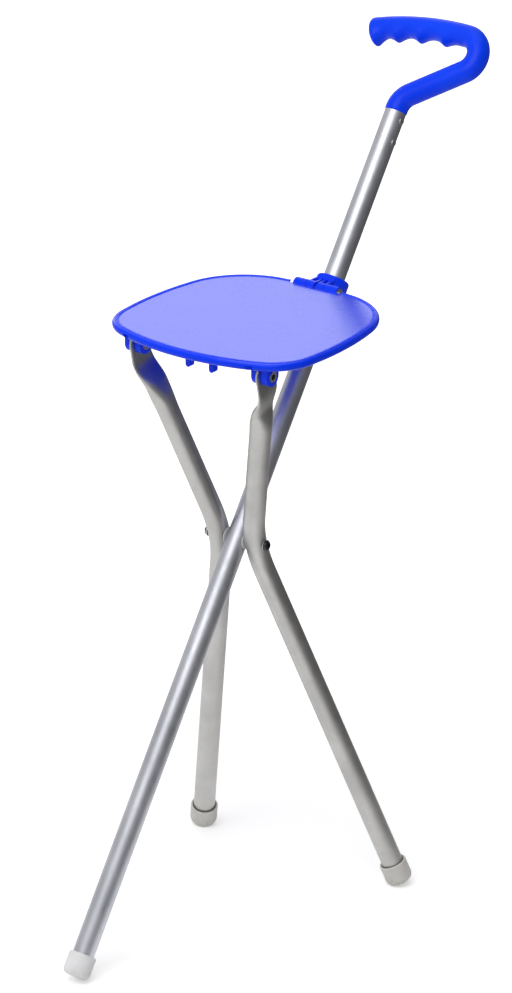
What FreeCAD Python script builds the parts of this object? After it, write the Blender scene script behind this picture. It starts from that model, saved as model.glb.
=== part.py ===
import FreeCAD, Part
import math
import os
import Sketcher
from FreeCAD import Placement, Rotation, Vector

# A walking stick seat, open. A long tube leans back from its foot to a side-on grip.
# Two bent legs cross it at one pivot bolt and carry the front of a moulded seat.
# The rear of the seat is hinged to a collar that slides on the tube, so that the
# seat folds flat against the tube when the collar is pulled up.
# X is to the right seen from the front foot, Y to the rear and Z up. The origin is the
# middle of the flat under the front foot. Lengths are millimetres, angles degrees.

SIZES = (
    # the stick's tube, from the outside of its foot to the handle
    ("tube_diameter", 19.0),
    ("tube_wall", 1.5),
    ("stick_lean", 35.5),
    ("pivot_along", 400.3),
    ("handle_along", 796.5),
    # the three rubber feet
    ("foot_diameter", 24.0),
    ("foot_height", 20.0),
    ("foot_floor", 4.5),
    ("foot_edge", 2.0),
    ("foot_flat_depth", 0.8),
    ("foot_disc_thick", 1.0),
    ("foot_disc_play", 0.4),
    # the two legs
    ("leg_lean", 15.9),
    ("leg_splay", 15.1),
    ("leg_bend_radius", 108.0),
    ("leg_upper", 186.5),
    ("tab_width", 25.0),
    ("tab_flat", 16.0),
    ("tab_transition", 34.0),
    # the pivot bolt and what is on it
    ("bolt_diameter", 5.0),
    ("bolt_head_diameter", 8.6),
    ("bolt_head_height", 2.2),
    ("bolt_cross_length", 4.6),
    ("bolt_cross_width", 1.2),
    ("bolt_cross_depth", 1.2),
    ("pivot_washer_diameter", 10.4),
    ("pivot_washer_thick", 0.8),
    ("pivot_washer_play", 0.3),
    ("spacer_diameter", 15.0),
    ("spacer_thick", 0.6),
    ("spacer_play", 0.05),
    ("nut_flats", 8.0),
    ("nut_height", 1.8),
    ("nut_dome_radius", 2.7),
    ("shaft_play", 0.05),
    # the moulded seat: its rim follows the middle of a round edge
    ("seat_front_corner_x", 57.2),
    ("seat_front_corner_y", 143.7),
    ("seat_front_corner_radius", 39.9),
    ("seat_rear_corner_x", 28.8),
    ("seat_rear_corner_y", 68.0),
    ("seat_rear_corner_radius", 65.1),
    ("seat_edge_radius", 286.0),
    ("seat_front_edge_radius", 200.0),
    ("rim_radius", 4.0),
    ("plate_thick", 2.6),
    ("plate_sink", 0.8),
    ("rib_thick", 2.0),
    ("rib_x", 34.0),
    ("rib_pitch", 42.0),
    # the hinge between the seat and the sliding collar
    ("hinge_offset", 18.0),
    ("hinge_above_rim", 1.0),
    ("lug_below_rim", 13.0),
    ("knuckle_radius", 6.0),
    ("seat_knuckle_outer", 22.5),
    ("collar_ear_outer", 9.4),
    ("collar_ear_inner", 1.2),
    ("knuckle_play", 0.3),
    ("knuckle_sweep_play", 0.6),
    ("hinge_pin_diameter", 5.0),
    ("hinge_pin_head_diameter", 7.6),
    ("hinge_pin_head_thick", 1.2),
    ("hinge_clip_thick", 0.8),
    ("hinge_clip_diameter", 9.0),
    ("hinge_pin_tail", 1.0),
    ("pin_end_room", 5.2),
    ("pin_end_pocket", 5.0),
    # the sliding collar
    ("collar_radius", 14.5),
    ("collar_play", 1.2),
    ("collar_below", 11.0),
    ("collar_above", 16.0),
    ("collar_shoulder", 2.8),
    ("collar_front_play", 0.6),
    ("collar_fin_rise", 13.0),
    ("collar_fin_thick", 1.8),
    # the lugs under the seat that hold the tops of the legs
    ("lug_radius", 8.5),
    ("lug_outer_thick", 6.5),
    ("lug_inner_thick", 6.0),
    ("lug_play", 0.4),
    ("lug_flare", 6.5),
    ("lug_flare_depth", 8.0),
    ("rivet_diameter", 7.0),
    ("rivet_bore", 5.0),
    ("rivet_flange_diameter", 9.4),
    ("rivet_flange_thick", 0.8),
    ("leg_relief_play", 1.0),
    # the clip that holds the folded seat to the tube
    ("clip_forward", 166.5),
    ("clip_length", 6.0),
    ("clip_play", 0.3),
    ("clip_jaw_thick", 5.0),
    ("clip_jaw_reach", 5.5),
    ("clip_base_half_width", 29.0),
    ("clip_base_depth", 9.5),
    # the stop under the collar
    ("stop_diameter", 4.0),
    ("stop_stand_out", 2.6),
    ("stop_play", 0.3),
    # the handle, drawn in the plane of X and the tube
    ("grip_diameter", 20.0),
    ("neck_corner", 12.5),
    ("neck_bend_radius", 18.0),
    ("arm_slope", 34.3),
    ("arm_length", 63.4),
    ("grip_bend_radius", 17.2),
    ("grip_droop_start", -2.7),
    ("grip_droop_end", 16.7),
    ("grip_length", 96.5),
    ("grip_end_round", 4.5),
    ("neck_edge", 1.0),
    ("finger_first", 3.2),
    ("finger_pitch", 23.4),
    ("finger_radius", 7.6),
    ("finger_half_length", 1.5),
    ("finger_drop", 4.4),
    ("valley_radius", 8.0),
    ("valley_drop", 15.2),
    ("spigot_length", 60.0),
    ("spigot_play", 0.1),
    # the two rivets that hold the handle in the tube
    ("handle_rivet_first", 7.0),
    ("handle_rivet_pitch", 20.1),
    ("handle_rivet_diameter", 3.2),
    ("handle_rivet_head", 6.0),
    ("handle_rivet_stand_out", 0.4),
    ("handle_rivet_length", 10.0),
)

FINGER_COUNT = 4
HANDLE_RIVET_COUNT = 2
X_AXIS = Vector(1, 0, 0)
Y_AXIS = Vector(0, 1, 0)
Z_AXIS = Vector(0, 0, 1)
ORIGIN = Vector(0, 0, 0)
ALONG_X = Rotation(Y_AXIS, 90)

doc = FreeCAD.newDocument("walking_stick_seat")
sheet = doc.addObject("Spreadsheet::Sheet", "size")
for row, (alias, value) in enumerate(SIZES, 1):
    sheet.set("A%d" % row, alias)
    sheet.set("B%d" % row, str(value))
    sheet.setAlias("B%d" % row, alias)
doc.recompute()


def size(alias):
    return float(sheet.get(alias))


def sine(degrees):
    return math.sin(math.radians(degrees))


def cosine(degrees):
    return math.cos(math.radians(degrees))


def tangent(degrees):
    return math.tan(math.radians(degrees))


# The stick's own frame: its origin is the outer end of the front foot, its Z runs up the
# tube, its X is the object's X and its Y points away from the seat.
tube_radius = size("tube_diameter") / 2
bore_radius = tube_radius - size("tube_wall")
foot_radius = size("foot_diameter") / 2
tube_start = size("foot_floor") + size("foot_disc_thick")


def foot_end_height(tilt):
    """Height of the middle of a foot's end, so that the floor cuts its flat."""
    lowest = (foot_radius - size("foot_edge")) * sine(tilt)
    lowest += size("foot_edge") * (1 - cosine(tilt))
    return lowest - size("foot_flat_depth")


def foot_flat_reach(tilt):
    """Distance, along the floor, from the middle of a foot's end to its flat."""
    return (foot_radius - size("foot_edge")) * cosine(tilt) + size("foot_edge") * sine(tilt)


stick_turn = Rotation(X_AXIS, -size("stick_lean"))
stick_base = Vector(0, -foot_flat_reach(size("stick_lean")), foot_end_height(size("stick_lean")))
stick_place = Placement(stick_base, stick_turn)
pivot_point = stick_place.multVec(Vector(0, 0, size("pivot_along")))
pivot_place = Placement(pivot_point, ALONG_X)

# The legs' own frame: origin on the pivot axis, Z up the leg as seen from the side.
leg_place = Placement(pivot_point, Rotation(X_AXIS, size("leg_lean")))
leg_middle_x = 2 * tube_radius + size("spacer_thick") + 2 * size("spacer_play")
leg_apex_x = leg_middle_x - size("leg_bend_radius") * (1 / cosine(size("leg_splay")) - 1)
leg_tilt = math.degrees(math.acos(cosine(size("leg_lean")) * cosine(size("leg_splay"))))
leg_lower = (pivot_point.z - foot_end_height(leg_tilt)) / cosine(size("leg_lean"))
lug_x = leg_apex_x + tangent(size("leg_splay")) * size("leg_upper")
lug_point = leg_place.multVec(Vector(0, 0, size("leg_upper")))
tab_thick = 2 * size("tube_wall")
lug_inside = lug_x - tab_thick / 2 - size("lug_play")
lug_outside = lug_x + tab_thick / 2 + size("lug_play")

# The hinge is at the height that lays the seat level and, folded, flat to the tube.
hinge_height = lug_point.z + size("lug_below_rim") + size("hinge_above_rim")
hinge_rise = hinge_height - stick_base.z - size("hinge_offset") * sine(size("stick_lean"))
hinge_along = hinge_rise / cosine(size("stick_lean"))
hinge_point = stick_place.multVec(Vector(0, -size("hinge_offset"), hinge_along))
hinge_place = Placement(hinge_point, ALONG_X)
collar_place = Placement(stick_place.multVec(Vector(0, 0, hinge_along)), stick_turn)
seat_place = Placement(hinge_point, Rotation())
lug_back = lug_point.y - hinge_point.y
lug_down = lug_point.z - hinge_point.z
rim_level = -size("hinge_above_rim")
plate_top = rim_level + size("rim_radius") - size("plate_sink")
plate_under = plate_top - size("plate_thick")
rim_bottom = rim_level - size("rim_radius")
stop_along = hinge_along - size("collar_below") - size("stop_play") - size("stop_diameter") / 2
handle_rivet_heights = []
for number in range(HANDLE_RIVET_COUNT):
    below = size("handle_rivet_first") + number * size("handle_rivet_pitch")
    handle_rivet_heights.append(size("handle_along") - below)


def feature(name, shape, place=Placement()):
    """A sub-part whose shape is worked out here from the sheet's sizes."""
    obj = doc.addObject("Part::Feature", name)
    obj.Shape = shape
    obj.Placement = place
    return obj


def bound(kind, name, place=Placement(), **expressions):
    """A primitive whose sizes are bound to the sheet."""
    obj = doc.addObject(kind, name)
    obj.Placement = place
    for prop, text in expressions.items():
        obj.setExpression(prop, text)
    return obj


def cut(name, base, tool, place=Placement()):
    obj = doc.addObject("Part::Cut", name)
    obj.Base = base
    obj.Tool = tool
    obj.Placement = place
    return obj


def fuse(name, shapes, place=Placement()):
    obj = doc.addObject("Part::MultiFuse", name)
    obj.Shapes = shapes
    obj.Placement = place
    return obj


def cylinder(radius, start, end):
    axis = end - start
    return Part.makeCylinder(radius, axis.Length, start, axis)


def box(low, high):
    extent = high - low
    return Part.makeBox(extent.x, extent.y, extent.z, low)


def heading_vector(heading):
    """A direction in the plane of X and Z, turned from X towards Z."""
    return Vector(cosine(heading), 0, sine(heading))


def bent_bar(radius, start, heading, moves):
    """A round bar in the plane of X and Z. A move is a length, or a bend's radius and turn."""
    solids = []
    for bend_radius, amount in moves:
        along = heading_vector(heading)
        if bend_radius:
            side = math.copysign(1, amount)
            middle = start + heading_vector(heading + 90 * side) * bend_radius
            disc = Part.Face(Part.Wire(Part.makeCircle(radius, start, along)))
            solids.append(disc.revolve(middle, Y_AXIS * -side, abs(amount)))
            heading += amount
            start = middle + heading_vector(heading - 90 * side) * bend_radius
        else:
            end = start + along * amount
            solids.append(cylinder(radius, start, end))
            start = end
    return solids[0].fuse(solids[1:]).removeSplitter(), start, heading


def rings_at(shape, point):
    """The round edges centred on a point."""
    rings = [edge for edge in shape.Edges if edge.isClosed()]
    return [edge for edge in rings if edge.CenterOfMass.distanceToPoint(point) < 0.01]


# The stick's tube, drilled for the pivot bolt, the stop and the handle's rivets.
def make_main_tube():
    body = doc.addObject("PartDesign::Body", "tube_body")
    plane = next(item for item in body.Origin.OriginFeatures if item.Role == "XY_Plane")
    sketch = body.newObject("Sketcher::SketchObject", "tube_section")
    sketch.AttachmentSupport = [(plane, "")]
    sketch.MapMode = "FlatFace"
    for radius, text in (
        (tube_radius, "size.tube_diameter / 2"),
        (bore_radius, "size.tube_diameter / 2 - size.tube_wall"),
    ):
        ring = sketch.addGeometry(Part.Circle(ORIGIN, Z_AXIS, radius), False)
        sketch.addConstraint(Sketcher.Constraint("Coincident", ring, 3, -1, 1))
        row = sketch.addConstraint(Sketcher.Constraint("Radius", ring, radius))
        sketch.setExpression("Constraints[%d]" % row, text)
    pad = body.newObject("PartDesign::Pad", "tube_length")
    pad.Profile = sketch
    pad.setExpression("Length", "size.handle_along - size.foot_floor - size.foot_disc_thick")
    body.Placement = Placement(Vector(0, 0, tube_start), Rotation())
    drilled = [
        ("size.bolt_diameter / 2 + size.shaft_play", size("pivot_along"), True),
        ("size.stop_diameter / 2", stop_along, True),
    ]
    for height in handle_rivet_heights:
        drilled.append(("size.handle_rivet_diameter / 2", height, False))
    holes = []
    for number, (radius, height, through) in enumerate(drilled):
        start = Vector(-2 * tube_radius if through else 0, 0, height)
        reach = "size.tube_diameter * %d" % (2 if through else 1)
        holes.append(bound("Part::Cylinder", "tube_hole_%d" % number, Placement(start, ALONG_X),
                           Radius=radius, Height=reach))
    return cut("drilled_tube", body, fuse("tube_holes", holes), stick_place)


# A rubber foot is a cup pulled over the end of a tube, worn flat where it stands.
def make_foot(name, place):
    outside = bound("Part::Cylinder", name + "_outside", Radius="size.foot_diameter / 2",
                    Height="size.foot_height")
    doc.recompute()
    rings = []
    for number, edge in enumerate(outside.Shape.Edges, 1):
        if len(edge.Vertexes) == 1 and edge.CenterOfMass.z < size("foot_edge"):
            rings.append((number, size("foot_edge"), size("foot_edge")))
        elif len(edge.Vertexes) == 1:
            rings.append((number, size("foot_edge") / 2, size("foot_edge") / 2))
    rounded = doc.addObject("Part::Fillet", name + "_rounded")
    rounded.Base = outside
    rounded.Edges = rings
    socket_place = Placement(Vector(0, 0, size("foot_floor")), Rotation())
    socket = bound("Part::Cylinder", name + "_socket", socket_place,
                   Radius="size.tube_diameter / 2", Height="size.foot_height")
    cup = cut(name + "_cup", rounded, socket, place)
    low = place.Base - Vector(size("foot_diameter"), size("foot_diameter"), 0)
    floor_place = Placement(Vector(low.x, low.y, -size("foot_diameter")), Rotation())
    floor = bound("Part::Box", name + "_floor", floor_place, Length="size.foot_diameter * 2",
                  Width="size.foot_diameter * 2", Height="size.foot_diameter")
    return cut(name + "_worn", cup, floor)


# A steel disc in each foot keeps the tube from cutting through the rubber.
def make_foot_disc(name, place):
    seat_of_disc = place * Placement(Vector(0, 0, size("foot_floor")), Rotation())
    return bound("Part::Cylinder", name, seat_of_disc, Height="size.foot_disc_thick",
                 Radius="size.tube_diameter / 2 - size.foot_disc_play")


def leg_foot_place(side):
    down = Vector(side * sine(size("leg_splay")), 0, -cosine(size("leg_splay")))
    end = Vector(side * leg_apex_x, 0, 0) + down * (leg_lower / cosine(size("leg_splay")))
    return leg_place * Placement(end, Rotation(Y_AXIS, -side * size("leg_splay")))


# Both wires have four edges that start at the same corners, so that the loft is smooth.
def flat_wire(width, thick, middle, along, across):
    half = along * ((width - thick) / 2)
    cap = along * (width / 2)
    wall = across * (thick / 2)
    edges = (
        Part.LineSegment(middle - half + wall, middle + half + wall),
        Part.Arc(middle + half + wall, middle + cap, middle + half - wall),
        Part.LineSegment(middle + half - wall, middle - half - wall),
        Part.Arc(middle - half - wall, middle - cap, middle - half + wall),
    )
    return Part.Wire([edge.toShape() for edge in edges])


def round_wire(radius, middle, along, across):
    def point(turn):
        return middle + along * (radius * cosine(turn)) + across * (radius * sine(turn))
    edges = []
    for turn in (135, 45, -45, -135):
        edges.append(Part.Arc(point(turn), point(turn - 45), point(turn - 90)).toShape())
    return Part.Wire(edges)


# A leg is a bent tube whose top is pressed flat into a tab for the seat's lug.
def make_leg(name, side):
    splay = size("leg_splay")
    bend_reach = size("leg_bend_radius") * tangent(splay)
    foot_end = leg_place.inverse().multVec(leg_foot_place(side).Base)
    heading = 90 + side * splay
    tube_end = foot_end + heading_vector(heading) * tube_start
    apex = Vector(side * leg_apex_x, 0, 0)
    neck_height = size("leg_upper") - size("tab_flat") - size("tab_transition")
    neck_reach = neck_height / cosine(splay)
    moves = (
        (0, (apex - tube_end).Length - bend_reach),
        (size("leg_bend_radius"), -side * 2 * splay),
        (0, neck_reach - bend_reach),
    )
    outside, neck, heading = bent_bar(tube_radius, tube_end, heading, moves)
    inside = bent_bar(bore_radius, tube_end, 90 + side * splay, moves)[0]
    across = heading_vector(heading - 90)
    press = Vector(side * lug_x, 0, size("leg_upper") - size("tab_flat"))
    half_tab = Vector(tab_thick / 2, size("tab_width") / 2, 0)
    lug = Vector(side * lug_x, 0, size("leg_upper"))
    pressed = Part.makeLoft([
        round_wire(tube_radius, neck, Y_AXIS, across),
        flat_wire(size("tab_width"), tab_thick, press, Y_AXIS, X_AXIS),
    ], True, True)
    tab = box(press - half_tab, lug + half_tab)
    tab_end = cylinder(half_tab.y, lug - X_AXIS * half_tab.x, lug + X_AXIS * half_tab.x)
    edge = Part.Face(flat_wire(size("tab_width"), tab_thick, press, Y_AXIS, X_AXIS))
    edge = edge.extrude(Vector(0, 0, size("tab_flat")))
    tab = tab.common(edge)
    solid = outside.fuse([pressed, tab, tab_end])
    bolt_radius = size("bolt_diameter") / 2 + size("shaft_play")
    bolt_hole = cylinder(bolt_radius, ORIGIN, Vector(side * 2 * leg_middle_x, 0, 0))
    rivet_radius = size("rivet_diameter") / 2 + size("shaft_play")
    rivet_hole = cylinder(rivet_radius, lug - X_AXIS * tab_thick, lug + X_AXIS * tab_thick)
    return feature(name, solid.cut([inside, bolt_hole, rivet_hole]).removeSplitter(), leg_place)


washer_start = leg_middle_x + tube_radius + size("pivot_washer_play")
washer_end = washer_start + size("pivot_washer_thick")


# The pivot's screw has a domed head with a cross in it.
def make_pivot_bolt():
    radius = size("bolt_head_diameter") / 2
    height = size("bolt_head_height")
    head = Part.makeCylinder(radius, height, Vector(0, 0, washer_end))
    top = [edge for edge in head.Edges if edge.CenterOfMass.z > washer_end + height / 2
           and len(edge.Vertexes) == 1]
    head = head.makeFillet(height * 2 / 3, top)
    shank_start = -washer_end - size("nut_height")
    shank = Part.makeCylinder(size("bolt_diameter") / 2, washer_end - shank_start,
                              Vector(0, 0, shank_start))
    long = size("bolt_cross_length") / 2
    wide = size("bolt_cross_width") / 2
    floor = washer_end + height - size("bolt_cross_depth")
    roof = washer_end + height + size("bolt_cross_depth")
    slots = [
        box(Vector(-long, -wide, floor), Vector(long, wide, roof)),
        box(Vector(-wide, -long, floor), Vector(wide, long, roof)),
    ]
    return feature("pivot_bolt", head.fuse(shank).cut(slots), pivot_place)


# A domed nut closes the other end.
def make_pivot_nut():
    hexagon_place = Placement(Vector(0, 0, -washer_end), Rotation(X_AXIS, 180))
    hexagon = bound("Part::Prism", "nut_hexagon", hexagon_place, Height="size.nut_height",
                    Circumradius="size.nut_flats / 2 / cos(30)")
    hexagon.Polygon = 6
    dome_place = Placement(Vector(0, 0, -washer_end - size("nut_height")), Rotation())
    dome = bound("Part::Sphere", "nut_dome", dome_place, Radius="size.nut_dome_radius")
    whole = fuse("nut_outside", [hexagon, dome])
    thread_place = Placement(Vector(0, 0, -washer_end - size("nut_height")), Rotation())
    thread = bound("Part::Cylinder", "nut_thread", thread_place,
                   Radius="size.bolt_diameter / 2", Height="size.nut_height * 2")
    return cut("nut_body", whole, thread, pivot_place)


def make_pivot_washer(name, start):
    disc_place = Placement(Vector(0, 0, start), Rotation())
    disc = bound("Part::Cylinder", name + "_disc", disc_place,
                 Radius="size.pivot_washer_diameter / 2", Height="size.pivot_washer_thick")
    hole = bound("Part::Cylinder", name + "_hole", disc_place,
                 Radius="size.bolt_diameter / 2 + size.shaft_play",
                 Height="size.pivot_washer_thick")
    return cut(name + "_ring", disc, hole, pivot_place)


# Two thin plastic discs keep the legs off the stick's tube.
def make_pivot_spacers():
    rings = []
    for side in (-1, 1):
        near = side * (tube_radius + size("spacer_play"))
        far = near + side * size("spacer_thick")
        start = Vector(0, 0, min(near, far))
        disc = Part.makeCylinder(size("spacer_diameter") / 2, size("spacer_thick"), start)
        hole = Part.makeCylinder(size("bolt_diameter") / 2 + size("shaft_play"),
                                 size("spacer_thick"), start)
        rings.append(disc.cut(hole))
    return feature("pivot_spacers", Part.Compound(rings), pivot_place)


# A pin through the tube stops the collar where the seat is level.
def make_collar_stop():
    half = tube_radius + size("stop_stand_out")
    start = Placement(Vector(-half, 0, stop_along), ALONG_X)
    return bound("Part::Cylinder", "collar_stop", stick_place * start,
                 Radius="size.stop_diameter / 2",
                 Height="size.tube_diameter + 2 * size.stop_stand_out")


# The handle: a spigot in the tube, a neck, an arm and a grip bent back over the neck.
def make_handle():
    radius = size("grip_diameter") / 2
    joint = Vector(0, 0, size("handle_along"))
    neck_turn = 90 - size("arm_slope")
    neck_reach = size("neck_bend_radius") * tangent(neck_turn / 2)
    grip_turn = 180 + size("grip_droop_start") - size("arm_slope")
    grip_arc = size("grip_droop_end") - size("grip_droop_start")
    grip_curve = size("grip_length") / math.radians(grip_arc)
    moves = (
        (0, size("neck_corner") - neck_reach),
        (size("neck_bend_radius"), -neck_turn),
        (0, size("arm_length") - neck_reach),
        (size("grip_bend_radius"), grip_turn),
        (grip_curve, grip_arc),
    )
    bar, end, heading = bent_bar(radius, joint, 90, moves)
    bar = bar.makeFillet(size("grip_end_round"), rings_at(bar, end))
    bar = bar.makeFillet(size("neck_edge"), rings_at(bar, joint))
    middle = end + heading_vector(heading + 90) * grip_curve

    def under_grip(reach, drop):
        back = heading - math.degrees(reach / grip_curve)
        return middle + heading_vector(back - 90) * (grip_curve - drop)

    fingers = []
    for number in range(FINGER_COUNT):
        reach = size("finger_first") + number * size("finger_pitch")
        centre = under_grip(reach, size("finger_drop"))
        half = Y_AXIS * size("finger_half_length")
        fingers.append(cylinder(size("finger_radius"), centre - half, centre + half))
        fingers.append(Part.makeSphere(size("finger_radius"), centre - half))
        fingers.append(Part.makeSphere(size("finger_radius"), centre + half))
        centre = under_grip(reach + size("finger_pitch") / 2, size("valley_drop"))
        half = Y_AXIS * size("grip_diameter")
        bar = bar.cut(cylinder(size("valley_radius"), centre - half, centre + half))
    past_end = end + heading_vector(heading) * size("grip_diameter")
    beyond = cylinder(size("grip_diameter"), end, past_end)
    fingers = [finger.cut(beyond) for finger in fingers]
    spigot = cylinder(bore_radius - size("spigot_play"),
                      joint - Z_AXIS * size("spigot_length"), joint)
    solid = bar.fuse(fingers + [spigot])
    rivet_radius = size("handle_rivet_diameter") / 2
    for height in handle_rivet_heights:
        hole_end = Vector(tube_radius, 0, height)
        hole = cylinder(rivet_radius, hole_end - X_AXIS * size("handle_rivet_length"), hole_end)
        solid = solid.cut(hole)
    return feature("handle", solid.removeSplitter(), stick_place)


# Two low rivets on one side hold the handle's spigot in the tube.
def make_handle_rivets():
    rivets = []
    head_radius = size("handle_rivet_head") / 2
    for height in handle_rivet_heights:
        skin = Vector(tube_radius, 0, height)
        tip = skin - X_AXIS * size("handle_rivet_length")
        shank = cylinder(size("handle_rivet_diameter") / 2, tip, skin)
        head = cylinder(head_radius, skin - X_AXIS * size("tube_wall"),
                        skin + X_AXIS * size("handle_rivet_stand_out"))
        tube = cylinder(tube_radius, skin - X_AXIS * tube_radius - Z_AXIS * head_radius * 2,
                        skin - X_AXIS * tube_radius + Z_AXIS * head_radius * 2)
        rivets.append(head.cut(tube).fuse(shank))
    return feature("handle_rivets", Part.Compound(rivets), stick_place)


# The collar's own frame: origin on the tube's axis beside the hinge, Z up the tube.
# The hinge is then hinge_offset towards the seat, on the side of minus Y.
def make_slide_collar():
    hinge = Vector(0, -size("hinge_offset"), 0)
    low = -size("collar_below")
    high = size("collar_above")
    sleeve = Part.makeCylinder(size("collar_radius"), high - low, Vector(0, 0, low))
    rings = [edge for edge in sleeve.Edges
             if len(edge.Vertexes) == 1 and edge.CenterOfMass.z > 0]
    sleeve = sleeve.makeFillet(size("collar_shoulder"), rings)
    wide = 2 * size("collar_radius")
    front = size("hinge_offset") - size("hinge_above_rim") - size("rim_radius")
    front -= size("collar_front_play")
    sleeve = sleeve.cut(box(Vector(-wide, -2 * wide, low), Vector(wide, -front, high)))
    room = size("knuckle_radius") + size("knuckle_sweep_play")
    pieces = []
    for side in (-1, 1):
        ear_low = side * size("collar_ear_inner")
        ear_high = side * size("collar_ear_outer")
        ear_left = min(ear_low, ear_high)
        ear_right = max(ear_low, ear_high)
        cavity_start = hinge + X_AXIS * ear_high
        sleeve = sleeve.cut(cylinder(room, cavity_start, cavity_start + X_AXIS * side * wide))
        pieces.append(cylinder(size("knuckle_radius"), hinge + X_AXIS * ear_left,
                               hinge + X_AXIS * ear_right))
        pieces.append(make_collar_fin(ear_left))
        pieces.append(make_collar_fin(ear_right - size("collar_fin_thick")))
    solid = sleeve.fuse(pieces)
    bore = Part.makeCylinder(tube_radius + size("collar_play"), 2 * (high - low),
                             Vector(0, 0, 2 * low))
    pin_radius = size("hinge_pin_diameter") / 2 + size("shaft_play")
    pin_hole = cylinder(pin_radius, hinge - X_AXIS * wide, hinge + X_AXIS * wide)
    return feature("slide_collar", solid.cut([bore, pin_hole]).removeSplitter(), collar_place)


# Thin fins, two to an ear, run from the hinge up to the sleeve with open space between.
def make_collar_fin(left):
    radius = size("knuckle_radius")
    hinge_y = -size("hinge_offset")
    corners = [
        Vector(left, hinge_y, -radius),
        Vector(left, hinge_y - radius * sine(45), radius * cosine(45)),
        Vector(left, -tube_radius, size("collar_fin_rise")),
        Vector(left, -tube_radius, -radius),
    ]
    outline = Part.makePolygon(corners + corners[:1])
    return Part.Face(outline).extrude(X_AXIS * size("collar_fin_thick"))


# The seat's outline has four corner arcs and four long arcs, each tangent to the next.
def long_arc_centre(first, first_radius, second, second_radius, long_radius):
    near = long_radius - first_radius
    far = long_radius - second_radius
    apart = second - first
    along = (near ** 2 - far ** 2 + apart.Length ** 2) / (2 * apart.Length)
    off = math.sqrt(near ** 2 - along ** 2)
    unit = apart / apart.Length
    return first + unit * along + Z_AXIS.cross(unit) * off


def seat_outline_arcs():
    """Centre, radius, start and turn of each arc, going round from the front left corner."""
    front = Vector(size("seat_front_corner_x"), -size("seat_front_corner_y"), 0)
    rear = Vector(size("seat_rear_corner_x"), -size("seat_rear_corner_y"), 0)
    front_radius = size("seat_front_corner_radius")
    rear_radius = size("seat_rear_corner_radius")
    corners = [
        (Vector(-front.x, front.y, 0), front_radius),
        (front, front_radius),
        (rear, rear_radius),
        (Vector(-rear.x, rear.y, 0), rear_radius),
    ]
    long_radii = [size("seat_front_edge_radius")] + [size("seat_edge_radius")] * 3
    centres = []
    for number in range(4):
        ends = corners[number] + corners[(number + 1) % 4]
        centres.append(long_arc_centre(*ends, long_radii[number]))
    arcs = []
    for number in range(4):
        corner, radius = corners[number]
        following = corners[(number + 1) % 4][0]
        start = turn_between(centres[number - 1], corner)
        middle = turn_between(centres[number], corner)
        end = turn_between(centres[number], following)
        arcs.append((corner, radius, start, (middle - start) % 360))
        arcs.append((centres[number], long_radii[number], middle, (end - middle) % 360))
    return arcs


def turn_between(origin, point):
    away = point - origin
    return math.degrees(math.atan2(away.y, away.x))


def seat_face(level):
    """The area inside the outline, at a height."""
    edges = []
    for centre, radius, start, turn in seat_outline_arcs():
        points = []
        for part_way in (0, 0.5, 1):
            angle = start + turn * part_way
            points.append(centre + Vector(radius * cosine(angle), radius * sine(angle), level))
        edges.append(Part.Arc(*points).toShape())
    return Part.Face(Part.Wire(edges))


def make_rim():
    """A round edge: each arc of the outline turns a disc about its centre."""
    stretches = []
    for centre, radius, start, turn in seat_outline_arcs():
        middle = centre + Vector(radius * cosine(start), radius * sine(start), rim_level)
        along = Vector(-sine(start), cosine(start), 0)
        disc = Part.Face(Part.Wire(Part.makeCircle(size("rim_radius"), middle, along)))
        stretches.append(disc.revolve(centre, Z_AXIS, turn))
    return stretches


def make_ribs():
    """Ribs under the plate, as deep as the rim."""
    half = size("rib_thick") / 2
    front = -2 * size("seat_front_corner_y")
    side = 2 * size("seat_front_corner_radius")
    ribs = []
    for x in (-size("rib_x"), size("rib_x")):
        ribs.append(box(Vector(x - half, front, rim_bottom), Vector(x + half, 0, plate_under)))
    for number in range(1, 4):
        y = -number * size("rib_pitch")
        ribs.append(box(Vector(-side, y - half, rim_bottom), Vector(side, y + half, plate_under)))
    inside = seat_face(rim_bottom).extrude(Vector(0, 0, plate_under - rim_bottom))
    return [rib.common(inside) for rib in ribs]


def make_lug(side):
    """Two ears under the front of the seat that hold one leg's tab."""
    inner_end = lug_inside - size("lug_inner_thick")
    outer_end = lug_outside + size("lug_outer_thick")
    ears = []
    for near, far in ((inner_end, lug_inside), (lug_outside, outer_end)):
        start = Vector(side * near, lug_back, lug_down)
        end = Vector(side * far, lug_back, lug_down)
        ears.append(cylinder(size("lug_radius"), start, end))
        left = min(start.x, end.x)
        right = max(start.x, end.x)
        ears.append(box(Vector(left, lug_back - size("lug_radius"), lug_down),
                        Vector(right, lug_back + size("lug_radius"), plate_top)))
    flare_far = inner_end - size("lug_flare")
    left = min(side * flare_far, side * inner_end)
    right = max(side * flare_far, side * inner_end)
    flare = box(Vector(left, lug_back - size("lug_radius"), rim_level - size("lug_flare_depth")),
                Vector(right, lug_back + size("lug_radius"), plate_top))
    corner = [edge for edge in flare.Edges
              if abs(edge.CenterOfMass.x - side * flare_far) < 0.01
              and edge.CenterOfMass.z < rim_level - size("lug_flare_depth") + 0.01]
    ears.append(flare.makeFillet(size("lug_flare") * 2 / 3, corner))
    return ears


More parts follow.
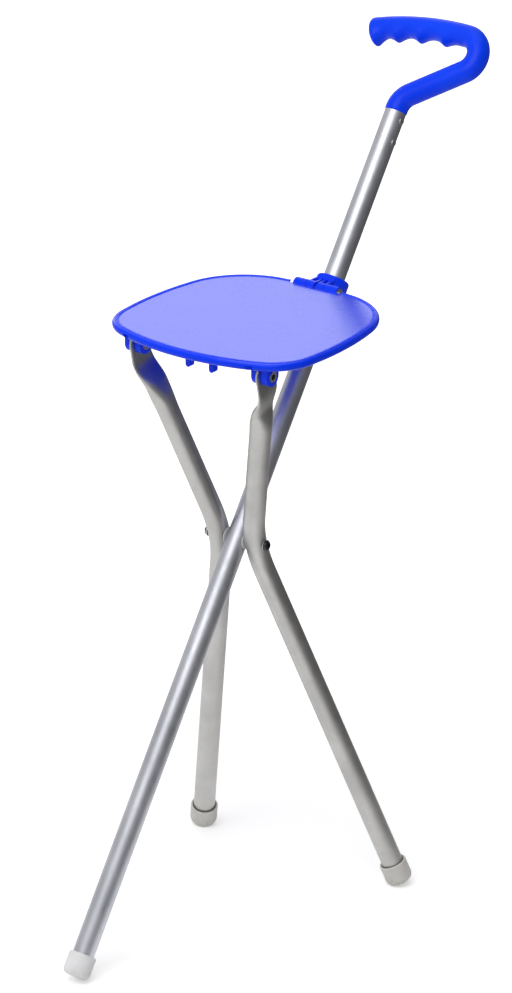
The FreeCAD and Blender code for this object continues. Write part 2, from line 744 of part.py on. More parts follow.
def make_clip():
    """A block under the seat with two jaws that grip the tube when the seat is folded."""
    jaw_inside = tube_radius + size("clip_play")
    jaw_outside = jaw_inside + size("clip_jaw_thick")
    axis_level = -size("hinge_offset")
    front = -size("clip_forward") - size("clip_length") / 2
    back = front + size("clip_length")
    half_base = size("clip_base_half_width")
    base = box(Vector(-half_base, front, rim_level - size("clip_base_depth")),
               Vector(half_base, back, plate_top))
    pieces = [base]
    jaw_end = axis_level - size("clip_jaw_reach")
    jaw_round = size("clip_jaw_thick") / 2
    for side in (-1, 1):
        left = min(side * jaw_inside, side * jaw_outside)
        middle = left + jaw_round
        pieces.append(box(Vector(left, front, jaw_end + jaw_round),
                          Vector(left + size("clip_jaw_thick"), back, plate_under)))
        pieces.append(cylinder(jaw_round, Vector(middle, front, jaw_end + jaw_round),
                               Vector(middle, back, jaw_end + jaw_round)))
    clear = cylinder(jaw_inside, Vector(0, 2 * front, axis_level), Vector(0, 0, axis_level))
    opening = box(Vector(-jaw_inside, 2 * front, 2 * jaw_end), Vector(jaw_inside, 0, axis_level))
    return [piece.cut([clear, opening]) for piece in pieces]


def make_seat_knuckles():
    radius = size("knuckle_radius")
    inner = size("collar_ear_outer") + size("knuckle_play")
    knuckles = []
    for side in (-1, 1):
        start = Vector(side * inner, 0, 0)
        end = Vector(side * size("seat_knuckle_outer"), 0, 0)
        knuckles.append(cylinder(radius, start, end))
    return knuckles


# The moulded seat: plate, rim, ribs, hinge knuckles, lugs and clip in one piece.
# The plate's top is sunk a little below the top of the rim.
def make_seat():
    plate = seat_face(plate_under).extrude(Vector(0, 0, size("plate_thick")))
    solid = plate.fuse(make_rim() + make_ribs())
    ear_room = size("collar_ear_outer") + size("knuckle_play")
    sweep = size("knuckle_radius") + size("knuckle_sweep_play")
    tall = size("hinge_offset")
    solid = solid.cut(box(Vector(-ear_room, -sweep, -tall), Vector(ear_room, tall, tall)))
    solid = solid.fuse(make_seat_knuckles() + make_clip() + make_lug(-1) + make_lug(1))
    cuts = []
    pin_reach = 2 * size("seat_knuckle_outer")
    cuts.append(cylinder(size("hinge_pin_diameter") / 2, X_AXIS * -pin_reach, X_AXIS * pin_reach))
    for side in (-1, 1):
        pin_end = X_AXIS * (side * size("seat_knuckle_outer"))
        cuts.append(cylinder(size("pin_end_room"), pin_end,
                             pin_end + X_AXIS * (side * size("pin_end_pocket"))))
        near = side * (lug_inside - size("lug_inner_thick") - size("rivet_flange_thick"))
        cuts.append(cylinder(size("rivet_diameter") / 2, Vector(near, lug_back, lug_down),
                             Vector(2 * near, lug_back, lug_down)))
        cuts.append(make_leg_relief(side))
    solid = solid.cut(cuts)
    return feature("seat", solid.removeSplitter(), seat_place)


def make_leg_relief(side):
    """The folded leg leaves the lug through a slot in the underside of the rim."""
    play = size("leg_relief_play")
    roof = lug_down + size("tab_width") / 2 + play
    front = lug_back - size("tab_flat") - size("tab_transition")
    tab_side = lug_x + tab_thick / 2 + size("lug_play")
    tab_back = lug_back + size("tab_width") / 2 + play
    neck_x = lug_x - tangent(size("leg_splay")) * (size("tab_flat") + size("tab_transition"))
    corners = [
        Vector(side * tab_side, tab_back, 0),
        Vector(side * (lug_x - tab_thick / 2 - size("lug_play")), tab_back, 0),
        Vector(side * (lug_x - tab_thick / 2 - size("lug_play")), lug_back - size("tab_flat"), 0),
        Vector(side * (neck_x - tube_radius - play), front, 0),
        Vector(side * (neck_x + tube_radius + play), front, 0),
        Vector(side * tab_side, lug_back - size("tab_flat"), 0),
    ]
    floor = Vector(0, 0, lug_down - size("tab_width"))
    outline = Part.makePolygon([corner + floor for corner in corners + corners[:1]])
    return Part.Face(outline).extrude(Vector(0, 0, roof - floor.z))


# A tubular rivet joins each lug to the tab between its ears.
def make_lug_rivet(name, side):
    inner_end = lug_inside - size("lug_inner_thick")
    outer_end = lug_outside + size("lug_outer_thick")
    shank = Part.makeCylinder(size("rivet_diameter") / 2, outer_end - inner_end,
                              Vector(0, 0, inner_end))
    flanges = []
    for start in (inner_end - size("rivet_flange_thick"), outer_end):
        flanges.append(Part.makeCylinder(size("rivet_flange_diameter") / 2,
                                         size("rivet_flange_thick"), Vector(0, 0, start)))
    bore = Part.makeCylinder(size("rivet_bore") / 2, 2 * outer_end)
    solid = shank.fuse(flanges).cut(bore)
    return feature(name, solid, Placement(lug_point, Rotation(Y_AXIS, side * 90)))


# The hinge pin has a head on the left and a push-on clip on the right.
def make_hinge_pin():
    half = size("seat_knuckle_outer")
    head_start = Vector(0, 0, -half - size("hinge_pin_head_thick"))
    shank_end = half + size("hinge_clip_thick") + size("hinge_pin_tail")
    head = Part.makeCylinder(size("hinge_pin_head_diameter") / 2, size("hinge_pin_head_thick"),
                             head_start)
    shank = Part.makeCylinder(size("hinge_pin_diameter") / 2, half + shank_end,
                              Vector(0, 0, -half))
    return feature("hinge_pin", head.fuse(shank), hinge_place)


def make_hinge_clip():
    start = Placement(Vector(0, 0, size("seat_knuckle_outer")), Rotation())
    disc = bound("Part::Cylinder", "hinge_clip_disc", start,
                 Radius="size.hinge_clip_diameter / 2", Height="size.hinge_clip_thick")
    hole = bound("Part::Cylinder", "hinge_clip_hole", start,
                 Radius="size.hinge_pin_diameter / 2", Height="size.hinge_clip_thick")
    return cut("hinge_clip_ring", disc, hole, hinge_place)


nodes = {
    "main_tube": make_main_tube(),
    "front_foot": make_foot("front_foot", stick_place),
    "front_foot_disc": make_foot_disc("front_disc", stick_place),
    "handle": make_handle(),
    "handle_rivets": make_handle_rivets(),
    "pivot_bolt": make_pivot_bolt(),
    "pivot_nut": make_pivot_nut(),
    "pivot_head_washer": make_pivot_washer("head_washer", washer_start),
    "pivot_nut_washer": make_pivot_washer("nut_washer", -washer_end),
    "pivot_spacers": make_pivot_spacers(),
    "collar_stop_pin": make_collar_stop(),
    "slide_collar": make_slide_collar(),
    "seat": make_seat(),
    "hinge_pin": make_hinge_pin(),
    "hinge_pin_clip": make_hinge_clip(),
}
for side_name, side_sign in (("left", -1), ("right", 1)):
    foot_place = leg_foot_place(side_sign)
    nodes[side_name + "_leg"] = make_leg(side_name + "_leg", side_sign)
    nodes[side_name + "_rear_foot"] = make_foot(side_name + "_foot", foot_place)
    nodes[side_name + "_rear_foot_disc"] = make_foot_disc(side_name + "_disc", foot_place)
    nodes[side_name + "_lug_rivet"] = make_lug_rivet(side_name + "_lug_rivet", side_sign)

for name, obj in nodes.items():
    for other in doc.getObjectsByLabel(name):
        other.Label = name + "_shape"
    obj.Label = name
doc.recompute()

for obj in doc.Objects:
    if "Invalid" in obj.State or "Error" in obj.State:
        raise RuntimeError("failed: " + obj.Name)
for name, obj in nodes.items():
    if obj.Shape.isNull() or not obj.Shape.isValid() or not obj.Shape.Solids:
        raise RuntimeError("bad shape: " + name)

os.makedirs("parts", exist_ok=True)
for name, obj in nodes.items():
    obj.Shape.exportStep("parts/" + name + ".step")
    print(name, len(obj.Shape.Solids), round(obj.Shape.Volume, 1))
print("pivot", [round(value, 3) for value in pivot_point])
print("lug", round(lug_x, 3), [round(value, 3) for value in lug_point])
print("hinge", [round(value, 3) for value in hinge_point], round(hinge_along, 3))
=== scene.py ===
import math

import bpy
from mathutils import Matrix, Vector


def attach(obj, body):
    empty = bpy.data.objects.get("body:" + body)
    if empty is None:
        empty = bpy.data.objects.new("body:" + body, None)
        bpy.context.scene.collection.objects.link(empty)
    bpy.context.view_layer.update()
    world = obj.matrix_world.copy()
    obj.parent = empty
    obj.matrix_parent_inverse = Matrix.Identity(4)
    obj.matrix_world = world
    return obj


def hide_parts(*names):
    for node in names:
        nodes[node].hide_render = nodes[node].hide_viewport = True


# A walking stick seat in a white studio. Metres; X right seen from the front foot, Y to the
# rear feet, Z up. The origin is under the front foot.

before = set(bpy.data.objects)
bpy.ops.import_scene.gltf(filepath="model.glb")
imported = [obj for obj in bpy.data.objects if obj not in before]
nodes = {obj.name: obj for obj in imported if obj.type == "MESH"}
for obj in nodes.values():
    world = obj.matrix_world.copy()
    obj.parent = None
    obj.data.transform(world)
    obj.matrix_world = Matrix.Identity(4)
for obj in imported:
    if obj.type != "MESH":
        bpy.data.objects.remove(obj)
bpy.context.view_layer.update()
scene = bpy.context.scene

STICK_BASE = Vector((0.0, -0.009303, 0.005379))
STICK_LEAN = math.radians(35.5)
LEG_LEAN = math.radians(15.9)
SEAT_TOP = 0.526834
STICK = Matrix.Translation(STICK_BASE) @ Matrix.Rotation(-STICK_LEAN, 4, "X")


# ---------------------------------------------------------------- materials
WHITE = (1.0, 1.0, 1.0, 1.0)
PLASTIC_SPECULAR = 0.16
# The panel's gloss ends between these distances above or below the seat's top.
PANEL_GLOSS_UNTIL = 0.0002
PANEL_DULL_FROM = 0.0004
DRAW_LINE_STRETCH = (900.0, 900.0, 9.0)
DIRT_HEIGHT = 0.012


def linear(red, green, blue):
    """An sRGB colour of 0 to 255 as the linear values that nodes take."""
    made = []
    for value in (red, green, blue):
        part = value / 255
        made.append(part / 12.92 if part <= 0.04045 else ((part + 0.055) / 1.055) ** 2.4)
    return (*made, 1.0)


def grey(value):
    """A grey by its linear value."""
    return (value, value, value, 1.0)


class Nodes:
    """Short ways to add nodes to one tree. All but the first return a socket."""

    def __init__(self, tree):
        self.tree = tree

    def node(self, kind, inputs=(), **settings):
        """A new node with its settings. Each input is a value, or a socket to link from."""
        made = self.tree.nodes.new(kind)
        for key, value in settings.items():
            setattr(made, key, value)
        for key, value in dict(inputs).items():
            if isinstance(value, bpy.types.NodeSocket):
                self.tree.links.new(value, made.inputs[key])
            else:
                made.inputs[key].default_value = value
        return made

    def math(self, operation, *values):
        made = self.node("ShaderNodeMath", enumerate(values), operation=operation)
        return made.outputs["Value"]

    def dot(self, place, axis):
        made = self.node("ShaderNodeVectorMath", {0: place, 1: axis}, operation="DOT_PRODUCT")
        return made.outputs["Value"]

    def span(self, value, low, high, start=0.3, end=0.7, **settings):
        """From low to high while the value goes from start to end. Most noise is 0.3 to 0.7."""
        made = self.node("ShaderNodeMapRange", {"Value": value, "From Min": start, "From Max": end,
                                                "To Min": low, "To Max": high}, **settings)
        return made.outputs["Result"]

    def mix(self, factor, first, second):
        """Between two colours. A mix node has a colour's sockets at 6 and 7, and out at 2."""
        made = self.node("ShaderNodeMix", {0: factor, 6: first, 7: second}, data_type="RGBA")
        return made.outputs[2]


class Shader(Nodes):
    """A Principled material with helpers for its textures."""

    def __init__(self, name, **values):
        self.material = bpy.data.materials.new(name)
        self.material.use_nodes = True
        super().__init__(self.material.node_tree)
        self.principled = self.tree.nodes["Principled BSDF"]
        for key, value in values.items():
            self.principled.inputs[key.replace("_", " ")].default_value = value
        self.place = self.node("ShaderNodeTexCoord").outputs["Object"]
        self.normal = None

    def height(self):
        return self.node("ShaderNodeSeparateXYZ", {"Vector": self.place}).outputs["Z"]

    def noise(self, scale, detail, place=None):
        place = self.place if place is None else place
        return self.node("ShaderNodeTexNoise", {"Vector": place, "Scale": scale,
                                                "Detail": detail}).outputs["Fac"]

    def clouded(self, first, second, scale, detail):
        """One colour clouded with another."""
        return self.mix(self.span(self.noise(scale, detail), 0.0, 1.0), first, second)

    def link(self, value, name):
        self.tree.links.new(value, self.principled.inputs[name])

    def vary_roughness(self, marks, rough, below, above):
        self.link(self.span(marks, rough - below, rough + above), "Roughness")

    def add_bump(self, texture, strength, depth):
        """One layer of bump on top of the layers before it. Its depth is in metres."""
        inputs = {"Height": texture, "Strength": strength, "Distance": depth}
        if self.normal is not None:
            inputs["Normal"] = self.normal
        self.normal = self.node("ShaderNodeBump", inputs).outputs["Normal"]
        self.link(self.normal, "Normal")


def add_panel_gloss(shader, top):
    """The flat panel at the seat's top is shinier than the rim and the underside."""
    off = shader.math("ABSOLUTE", shader.math("SUBTRACT", shader.height(), top))
    shader.link(shader.span(off, 1.0, 0.0, PANEL_GLOSS_UNTIL, PANEL_DULL_FROM), "Coat Weight")


def moulded_plastic(name, base, deep, rough, grain, panel_height=None, **values):
    """Glossy injection-moulded plastic: faint flow clouding, an eggshell grain, fine scuffs."""
    shader = Shader(name, IOR=1.5, Specular_IOR_Level=PLASTIC_SPECULAR, **values)
    shader.link(shader.clouded(deep, base, scale=14.0, detail=4.0), "Base Color")
    smears = shader.noise(scale=60.0, detail=5.0)
    shader.vary_roughness(smears, rough, below=0.02, above=0.03)
    shader.add_bump(shader.noise(scale=18.0, detail=2.0), strength=0.06, depth=0.0003)
    shader.add_bump(shader.noise(scale=1500.0, detail=2.0), strength=grain, depth=0.00003)
    if panel_height:
        add_panel_gloss(shader, panel_height)
    return shader.material


def satin_aluminium(name, base, dark, lean, rough):
    """Anodised tube: draw lines along its length, a fine etched grain, soft handling marks."""
    shader = Shader(name, Metallic=1.0)
    along = shader.node("ShaderNodeMapping", {"Vector": shader.place, "Scale": DRAW_LINE_STRETCH,
                                              "Rotation": (lean, 0.0, 0.0)}).outputs["Vector"]
    lines = shader.noise(scale=1.0, detail=4.0, place=along)
    tint = shader.clouded(dark, base, scale=22.0, detail=4.0)
    shader.link(shader.mix(shader.span(lines, 0.0, 0.35), tint, dark), "Base Color")
    marks = shader.noise(scale=95.0, detail=5.0)
    shader.vary_roughness(marks, rough, below=0.04, above=0.06)
    shader.add_bump(lines, strength=0.25, depth=0.00003)
    shader.add_bump(shader.noise(scale=2600.0, detail=2.0), strength=0.25, depth=0.00003)
    return shader.material


def moulded_rubber(name, base, dirty):
    """Pale matt rubber or nylon: speckled, and dirtier towards the floor."""
    shader = Shader(name, Roughness=0.62)
    low = shader.span(shader.height(), 1.0, 0.0, start=0.0, end=DIRT_HEIGHT)
    speck = shader.span(shader.noise(scale=420.0, detail=5.0), 0.0, 1.0, start=0.45, end=0.75)
    wear = shader.math("MULTIPLY", low, speck)
    cloud = shader.span(shader.noise(scale=70.0, detail=4.0), 0.0, 0.3)
    tint = shader.mix(cloud, base, dirty)
    shader.link(shader.mix(wear, tint, dirty), "Base Color")
    shader.add_bump(shader.noise(scale=160.0, detail=3.0), strength=0.3, depth=0.0002)
    shader.add_bump(shader.noise(scale=1700.0, detail=2.0), strength=0.5, depth=0.00006)
    return shader.material


def plated_steel(name, base, dark, rough):
    """Zinc-plated or blackened steel with a mottled finish."""
    shader = Shader(name, Metallic=1.0)
    shader.link(shader.clouded(dark, base, scale=380.0, detail=5.0), "Base Color")
    marks = shader.noise(scale=900.0, detail=3.0)
    shader.vary_roughness(marks, rough, below=0.06, above=0.1)
    shader.add_bump(shader.noise(scale=1300.0, detail=4.0), strength=0.3, depth=0.00004)
    return shader.material


blue = moulded_plastic("blue_plastic", linear(0, 70, 248), linear(0, 56, 236),
                       rough=0.32, grain=0.2)
seat_blue = moulded_plastic("seat_blue_plastic", linear(0, 60, 246), linear(0, 52, 238),
                            rough=0.26, grain=0.03, panel_height=SEAT_TOP,
                            Coat_IOR=1.5, Coat_Roughness=0.22)
stick_metal = satin_aluminium("stick_aluminium", linear(212, 213, 219), linear(190, 192, 199),
                              lean=STICK_LEAN, rough=0.42)
leg_metal = satin_aluminium("leg_aluminium", linear(202, 201, 198), linear(178, 177, 175),
                            lean=-LEG_LEAN, rough=0.42)
front_rubber = moulded_rubber("front_foot_rubber", linear(242, 242, 244), linear(190, 187, 180))
# The rear feet get the front feet's rubber in a darker, greyer colour: painted shade for the shade
# that falls on them under the seat.
rear_rubber_painted_shade = moulded_rubber("rear_foot_rubber_painted_shade", linear(218, 216, 211), linear(170, 166, 159))
steel = plated_steel("zinc_steel", linear(225, 225, 228), linear(175, 175, 180), rough=0.3)
dark_steel = plated_steel("dark_steel", linear(92, 92, 96), linear(48, 48, 52), rough=0.4)
nylon = moulded_rubber("white_nylon", linear(222, 222, 218), linear(190, 190, 186))

# The nodes that aren't named here are zinc-plated steel.
FINISHES = {
    "main_tube": stick_metal, "left_leg": leg_metal, "right_leg": leg_metal,
    "front_foot": front_rubber, "left_rear_foot": rear_rubber_painted_shade, "right_rear_foot": rear_rubber_painted_shade,
    "handle": blue, "slide_collar": seat_blue, "seat": seat_blue,
    "pivot_bolt": dark_steel, "pivot_nut": dark_steel, "pivot_spacers": nylon,
}
for name, node in nodes.items():
    for place in node.material_slots:
        place.material = FINISHES.get(name, steel)


# ---------------------------------------------------------------- mesh helpers
def add_mesh(name, rings, finish, body, closed_end=True):
    """A smooth mesh through rings of points, riding on a body."""
    points, faces = skin_rings(rings, closed_end)
    mesh = bpy.data.meshes.new(name)
    mesh.from_pydata([tuple(p) for p in points], [], faces)
    mesh.validate()
    mesh.update()
    mesh.polygons.foreach_set("use_smooth", [True] * len(mesh.polygons))
    mesh.materials.append(finish)
    obj = bpy.data.objects.new(name, mesh)
    scene.collection.objects.link(obj)
    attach(obj, body)
    return obj


def skin_rings(rings, closed_end):
    """Points and quads of a tube through rings of equal length, with fans that close it."""
    count = len(rings[0])
    points = [p for ring in rings for p in ring]
    faces = []
    for row in range(len(rings) - 1):
        for column in range(count):
            after = (column + 1) % count
            faces.append((row * count + column, row * count + after,
                          (row + 1) * count + after, (row + 1) * count + column))
    points.append(sum(rings[0], Vector()) / count)
    faces += [(len(points) - 1, (c + 1) % count, c) for c in range(count)]
    if closed_end:
        points.append(sum(rings[-1], Vector()) / count)
        start = (len(rings) - 1) * count
        faces += [(len(points) - 1, start + c, start + (c + 1) % count) for c in range(count)]
    return points, faces


def turns(count):
    """Equal steps around a circle, in radians."""
    return [2 * math.pi * number / count for number in range(count)]


# ---------------------------------------------------------------- handle
# The path of the grip's middle line, in the stick's frame: up the neck, out along the arm,
# around the bend and back along the drooping grip. Angles are in degrees.
HANDLE_ALONG = 0.7965
GRIP_RADIUS = 0.0100
NECK_CORNER = 0.0125
NECK_BEND = 0.018
ARM_SLOPE = 34.3
ARM_LENGTH = 0.0634
GRIP_BEND = 0.0172
DROOP_START = -2.7
DROOP_END = 16.7
GRIP_LENGTH = 0.0977
# The ridges under the grip: distance from its front end, and reach below its middle line.
RIDGES = ((0.0059, 0.0171), (0.0278, 0.0144), (0.0517, 0.0144), (0.0782, 0.0142))
VALLEY_REACH = 0.0096
RIDGE_SPAN = 0.0125
RIDGE_BLUNT = 0.07
RIDGE_POWER = 1.9
# How quickly the ridges fade out from the underside to the sides.
UNDERSIDE_POWER = 1.6
# The handle is thinner at its rounded front end, and a little at its start on the tube.
END_ROUND = 0.0042
END_SCALE = 0.55
START_LENGTH = 0.0008
START_SCALE = 0.94
RING_STEP = 0.0009
RING_POINTS = 56


def heading(angle):
    return Vector((math.cos(math.radians(angle)), 0.0, math.sin(math.radians(angle))))


def handle_path():
    """Stations of the handle's middle line in the stick's frame: point, heading, run."""
    neck_turn = 90 - ARM_SLOPE
    neck_reach = NECK_BEND * math.tan(math.radians(neck_turn / 2))
    droop = DROOP_END - DROOP_START
    # each move is a radius and a turn, or no radius and a length
    moves = (
        (0, NECK_CORNER - neck_reach), (NECK_BEND, -neck_turn), (0, ARM_LENGTH - neck_reach),
        (GRIP_BEND, 180 + DROOP_START - ARM_SLOPE), (GRIP_LENGTH / math.radians(droop), droop),
    )
    point = Vector((0.0, 0.0, HANDLE_ALONG))
    angle = 90.0
    run = 0.0
    stations = [(point.copy(), angle, run)]
    for radius, amount in moves:
        length = math.radians(abs(amount)) * radius if radius else amount
        steps = max(2, round(length / RING_STEP))
        for _ in range(steps):
            if radius:
                turn = amount / steps
                chord = 2 * radius * math.sin(math.radians(abs(turn) / 2))
                point = point + heading(angle + turn / 2) * chord
                angle += turn
            else:
                point = point + heading(angle) * (length / steps)
            run += length / steps
            stations.append((point.copy(), angle, run))
    return stations, run


def under_reach(from_end):
    """How far the grip's underside is from its middle line, by distance from its front end."""
    last = RIDGES[-1][0]
    if from_end > last + RIDGE_SPAN:
        return GRIP_RADIUS
    place, reach = min(RIDGES, key=lambda ridge: abs(ridge[0] - from_end))
    away = math.hypot(abs(from_end - place) / RIDGE_SPAN, RIDGE_BLUNT)
    sharp = max(0.0, 1.0 - away) ** RIDGE_POWER
    base = VALLEY_REACH if from_end < last else GRIP_RADIUS
    return base + (reach - base) * sharp


def handle_scale(run, from_end):
    """The handle's thickness as a share of the full one. It is less near its two ends."""
    if run < START_LENGTH:
        return START_SCALE
    if from_end < END_ROUND:
        rounding = math.sqrt(max(0.0, 1 - (1 - from_end / END_ROUND) ** 2))
        return END_SCALE + (1 - END_SCALE) * rounding
    return 1.0


def make_handle_skin():
    stations, total = handle_path()
    rings = []
    for point, angle, run in stations:
        outward = heading(angle - 90)
        under = under_reach(total - run)
        scale = handle_scale(run, total - run)
        ring = []
        for turn in turns(RING_POINTS):
            # turn 0 is the outside of the bends, half a turn is the grip's underside
            down = max(0.0, -math.cos(turn)) ** UNDERSIDE_POWER
            reach = (GRIP_RADIUS + (under - GRIP_RADIUS) * down) * scale
            ring.append(STICK @ (point + outward * (math.cos(turn) * reach)
                                 + Vector((0, 1, 0)) * (math.sin(turn) * reach)))
        rings.append(ring)
    obj = add_mesh("handle_skin", rings, blue, "stick")
    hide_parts("handle")


make_handle_skin()


# ---------------------------------------------------------------- legs
# The legs' frame has its origin at the pivot screw, and its Z runs up the pair of legs.
PIVOT = Vector((0.0, 0.223153, 0.331269))
LEG_FRAME = Matrix.Translation(PIVOT) @ Matrix.Rotation(LEG_LEAN, 4, "X")
SPLAY = math.radians(15.1)
LEG_APEX = 0.01584
LEG_BEND = 0.108
LEG_END = -0.34127
TUBE_RADIUS = 0.0095
TUBE_START = 0.0055
TAB_HALF_THICK = 0.0015
TAB_HALF_WIDTH = 0.0125
PRESSED_HALF_WIDTH = 0.0132
LUG_ACROSS = 0.066159
LUG_HEIGHT = 0.1865
LEG_TOP = LUG_HEIGHT + TAB_HALF_WIDTH
# Heights along the leg between which it flattens, turns upright to its lug, and widens.
ROUND_UNTIL = 0.130
FLAT_FROM = 0.170
SHIFT_FROM = 0.148
SHIFT_UNTIL = 0.174
WIDE_FROM = 0.120
WIDE_UNTIL = 0.160
# How evenly points spread over the pressed section, and how square its edges are.
SPREAD_POWER = 0.8
EDGE_POWER = 8
LEG_RING_POINTS = 56
# The rings' distance apart, up to each height: even legs, the bend, and the pressed end.
LEG_RING_STEPS = ((-0.04, 0.012), (ROUND_UNTIL - 0.004, 0.003), (math.inf, 0.00125))
RINGS_STOP_BELOW = 0.0004
LAST_RING_BELOW = 0.0002
SLOPE_STEP = 0.0005


def smooth(low, high, value):
    part = min(1.0, max(0.0, (value - low) / (high - low)))
    return part * part * (3 - 2 * part)


def leg_middle(height):
    """How far out the leg's middle line is at a height along the leg, with its rounded bend."""
    reach = LEG_BEND * math.sin(SPLAY)
    if abs(height) < reach:
        centre = LEG_APEX + LEG_BEND / math.cos(SPLAY)
        return centre - math.sqrt(LEG_BEND ** 2 - height ** 2)
    straight = LEG_APEX + abs(height) * math.tan(SPLAY)
    return straight + (LUG_ACROSS - straight) * smooth(SHIFT_FROM, SHIFT_UNTIL, height)


def pressed_half_width(height):
    """Half the width of the pressed end: it narrows to the tab, and the tab's top is round."""
    narrower = smooth(FLAT_FROM, LUG_HEIGHT, height)
    half = PRESSED_HALF_WIDTH - (PRESSED_HALF_WIDTH - TAB_HALF_WIDTH) * narrower
    above = max(0.0, height - LUG_HEIGHT)
    return math.sqrt(max(0.0, half ** 2 - above ** 2))


def leg_section(height, turn):
    """A point of the leg's outline across its middle line: out from it, and along Y."""
    flat = smooth(ROUND_UNTIL, FLAT_FROM, height)
    wide = smooth(WIDE_FROM, WIDE_UNTIL, height)
    round_point = (TUBE_RADIUS * math.cos(turn), TUBE_RADIUS * math.sin(turn))
    side = math.copysign(abs(math.sin(turn)) ** SPREAD_POWER, math.sin(turn))
    edge = math.sqrt(max(0.0, 1 - abs(side) ** EDGE_POWER))
    flat_point = (TAB_HALF_THICK * math.copysign(edge, math.cos(turn)),
                  pressed_half_width(height) * side)
    return (round_point[0] + (flat_point[0] - round_point[0]) * flat,
            round_point[1] + (flat_point[1] - round_point[1]) * wide)


def leg_heights():
    """Heights of the leg's rings, closer together where its shape changes more."""
    heights = []
    height = LEG_END + TUBE_START * math.cos(SPLAY)
    while height < LEG_TOP - RINGS_STOP_BELOW:
        heights.append(height)
        height += next(step for until, step in LEG_RING_STEPS if height < until)
    heights.append(LEG_TOP - LAST_RING_BELOW)
    return heights


def make_leg_skin(side, body, node_name):
    rings = []
    for height in leg_heights():
        rise = leg_middle(height + SLOPE_STEP) - leg_middle(height - SLOPE_STEP)
        tilt = math.atan(rise / (2 * SLOPE_STEP))
        tilt *= 1 - smooth(ROUND_UNTIL, FLAT_FROM, height)
        ring = []
        for turn in turns(LEG_RING_POINTS):
            out, along = leg_section(height, -turn * side)
            ring.append(LEG_FRAME @ Vector((side * (leg_middle(height) + out * math.cos(tilt)),
                                            along, height - out * math.sin(tilt))))
        rings.append(ring)
    obj = add_mesh(node_name + "_skin", rings, leg_metal, body)
    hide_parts(node_name)


make_leg_skin(-1, "legs", "left_leg")
make_leg_skin(1, "legs", "right_leg")


# ---------------------------------------------------------------- feet
# A cup's outline, from the middle of its underside over its lip to the tube: radius, height.
FOOT_PROFILE = (
    (0.0, 0.0), (0.0055, 0.0), (0.0078, 0.0001), (0.0096, 0.0006), (0.0108, 0.0016),
    (0.01155, 0.0029), (0.0119, 0.0044), (0.012, 0.006), (0.012, 0.009), (0.01198, 0.0125),
    (0.0120, 0.016), (0.01205, 0.0176), (0.0120, 0.0187), (0.0117, 0.0195), (0.0112, 0.0199),
    (0.0107, 0.0198), (0.0103, 0.0193), (0.01015, 0.0184), (0.01, 0.017), (0.0096, 0.0155),
    (0.0094, 0.013),
)
FOOT_RING_POINTS = 64
SMALLEST_RING = 0.0004


def make_foot_skin(node_name, body, finish, place):
    """A moulded cup turned from its outline, with its underside worn flat on the floor."""
    rings = []
    for radius, height in FOOT_PROFILE:
        reach = max(radius, SMALLEST_RING)
        ring = []
        for turn in turns(FOOT_RING_POINTS):
            point = place @ Vector((reach * math.cos(turn), reach * math.sin(turn), height))
            point.z = max(point.z, 0.0)
            ring.append(point)
        rings.append(ring)
    obj = add_mesh(node_name + "_skin", rings, finish, body, closed_end=False)
    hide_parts(node_name)


def rear_foot_place(side):
    middle = LEG_APEX + abs(LEG_END) * math.tan(SPLAY)
    return (LEG_FRAME @ Matrix.Translation((side * middle, 0.0, LEG_END))
            @ Matrix.Rotation(-side * SPLAY, 4, "Y"))


make_foot_skin("front_foot", "stick", front_rubber, STICK)
# The rear feet wear the darker rubber, whose colour holds painted shade.
make_foot_skin("left_rear_foot", "legs", rear_rubber_painted_shade, rear_foot_place(-1))
make_foot_skin("right_rear_foot", "legs", rear_rubber_painted_shade, rear_foot_place(1))


# ---------------------------------------------------------------- camera
CAMERA_RIGHT = Vector((0.80512, 0.59311, 0.0))
CAMERA_UP = Vector((-0.21902, 0.29731, 0.92932))
CAMERA_BACK = Vector((0.55119, -0.74821, 0.36928))
CAMERA_PLACE = Vector((3.0713, -3.9195, 2.4186))
camera_data = bpy.data.cameras.new("camera")
camera_data.lens = 235.3
camera_data.sensor_width = 36.0
camera_data.sensor_fit = "AUTO"
camera_data.clip_end = 60.0
camera = bpy.data.objects.new("camera", camera_data)
turned = Matrix((CAMERA_RIGHT, CAMERA_UP, CAMERA_BACK)).transposed().to_4x4()
camera.matrix_world = Matrix.Translation(CAMERA_PLACE) @ turned
scene.collection.objects.link(camera)
scene.camera = camera


# ---------------------------------------------------------------- studio
# The room and the floor are bright on the picture's left and dark on its right, which gives
# the tubes their dark side. A fade or an edge is where a change starts and where it ends.
# Right is a direction in the room here, and stays where it is when the camera moves.
ROOM_RIGHT = tuple(CAMERA_RIGHT)
ROOM_LIT = 0.62
ROOM_DARK = 0.18
ROOM_FADE = (-0.1, 0.75)
# A bright backdrop behind the stick, seen by shiny surfaces alone.
BACKDROP_SIDE = (-0.657, 0.658, 0.365)
BACKDROP_GLOW = 0.8
BACKDROP_EDGE = (0.84, 0.98)
FLOOR_HALF = 14.0
FLOOR_FADE = (0.1, 0.9)
# The floor's own light keeps it white for the camera. It has these strengths at these
# distances. What shiny surfaces mirror of the floor glows on the left side only.
FLOOR_GLOW = (0.35, 0.85)
FLOOR_GLOW_AWAY = (0.4, 1.6)
MIRRORED_GLOW = 0.35


def soft_box(name, place, aim, side, power):
    data = bpy.data.lights.new(name, "AREA")
    data.shape = "RECTANGLE"
    data.size = side
    data.size_y = side
    data.energy = power
    lamp = bpy.data.objects.new(name, data)
    lamp.location = place
    lamp.rotation_mode = "QUATERNION"
    lamp.rotation_quaternion = (Vector(aim) - Vector(place)).to_track_quat("-Z", "Y")
    scene.collection.objects.link(lamp)


soft_box("key_light", place=(0.16, -0.5, 1.5), aim=(0.0, 0.42, 0.6), side=1.1, power=8.8)
soft_box("top_light", place=(0.0, 0.7, 2.9), aim=(0.0, 0.2, 0.4), side=2.0, power=10.0)


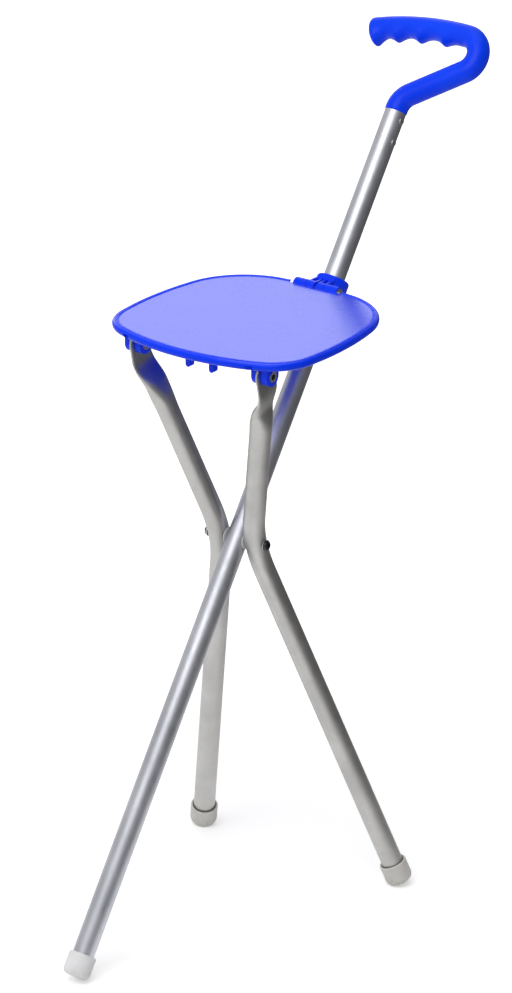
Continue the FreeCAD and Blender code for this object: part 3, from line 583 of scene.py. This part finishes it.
def make_world():
    """White for the camera. The room itself is lit on the left side and dim on the right."""
    world = bpy.data.worlds.new("studio")
    scene.world = world
    world.use_nodes = True
    world.node_tree.nodes.clear()
    sky = Nodes(world.node_tree)
    toward = sky.node("ShaderNodeTexCoord").outputs["Generated"]

    def plain(strength):
        return sky.node("ShaderNodeBackground", {"Color": WHITE, "Strength": strength}).outputs[0]

    room = sky.span(sky.dot(toward, ROOM_RIGHT), ROOM_LIT, ROOM_DARK, *ROOM_FADE,
                    interpolation_type="SMOOTHSTEP")
    glow = sky.span(sky.dot(toward, BACKDROP_SIDE), 0.0, BACKDROP_GLOW, *BACKDROP_EDGE,
                    interpolation_type="SMOOTHSTEP")
    rays = sky.node("ShaderNodeLightPath").outputs
    clear = sky.math("MAXIMUM", rays["Is Camera Ray"], rays["Is Transmission Ray"])
    seen = sky.node("ShaderNodeMixShader", {0: clear, 1: plain(room), 2: plain(1.0)})
    lit = sky.node("ShaderNodeMixShader", {0: rays["Is Glossy Ray"], 1: seen.outputs[0],
                                           2: plain(sky.math("ADD", room, glow))})
    sky.node("ShaderNodeOutputWorld", {"Surface": lit.outputs[0]})


make_world()


def make_floor():
    signs = ((-1, -1), (1, -1), (1, 1), (-1, 1))
    corners = [(x * FLOOR_HALF, y * FLOOR_HALF, 0) for x, y in signs]
    mesh = bpy.data.meshes.new("studio_floor")
    mesh.from_pydata(corners, [], [(0, 1, 2, 3)])
    ground = Shader("studio_floor", Roughness=0.9, Specular_IOR_Level=0.0, Emission_Color=WHITE)
    rays = ground.node("ShaderNodeLightPath").outputs
    tint = ground.mix(ground.noise(scale=1.2, detail=2.0), grey(0.96), grey(0.98))
    side = ground.span(ground.dot(ground.place, ROOM_RIGHT), 0.0, 1.0, *FLOOR_FADE,
                       interpolation_type="SMOOTHSTEP")
    mirrored = ground.mix(side, grey(0.95), grey(0.2))
    ground.link(ground.mix(rays["Is Glossy Ray"], tint, mirrored), "Base Color")
    away = ground.node("ShaderNodeVectorMath", {0: ground.place},
                       operation="LENGTH").outputs["Value"]
    glow = ground.span(away, *FLOOR_GLOW, *FLOOR_GLOW_AWAY)
    seen = ground.math("MULTIPLY", rays["Is Camera Ray"], glow)
    shine = ground.span(side, MIRRORED_GLOW, 0.0, start=0.0, end=1.0)
    glossy = ground.math("MULTIPLY", rays["Is Glossy Ray"], shine)
    ground.link(ground.math("ADD", seen, glossy), "Emission Strength")
    mesh.materials.append(ground.material)
    floor = bpy.data.objects.new("studio_floor", mesh)
    scene.collection.objects.link(floor)


make_floor()
scene.view_settings.view_transform = "Standard"
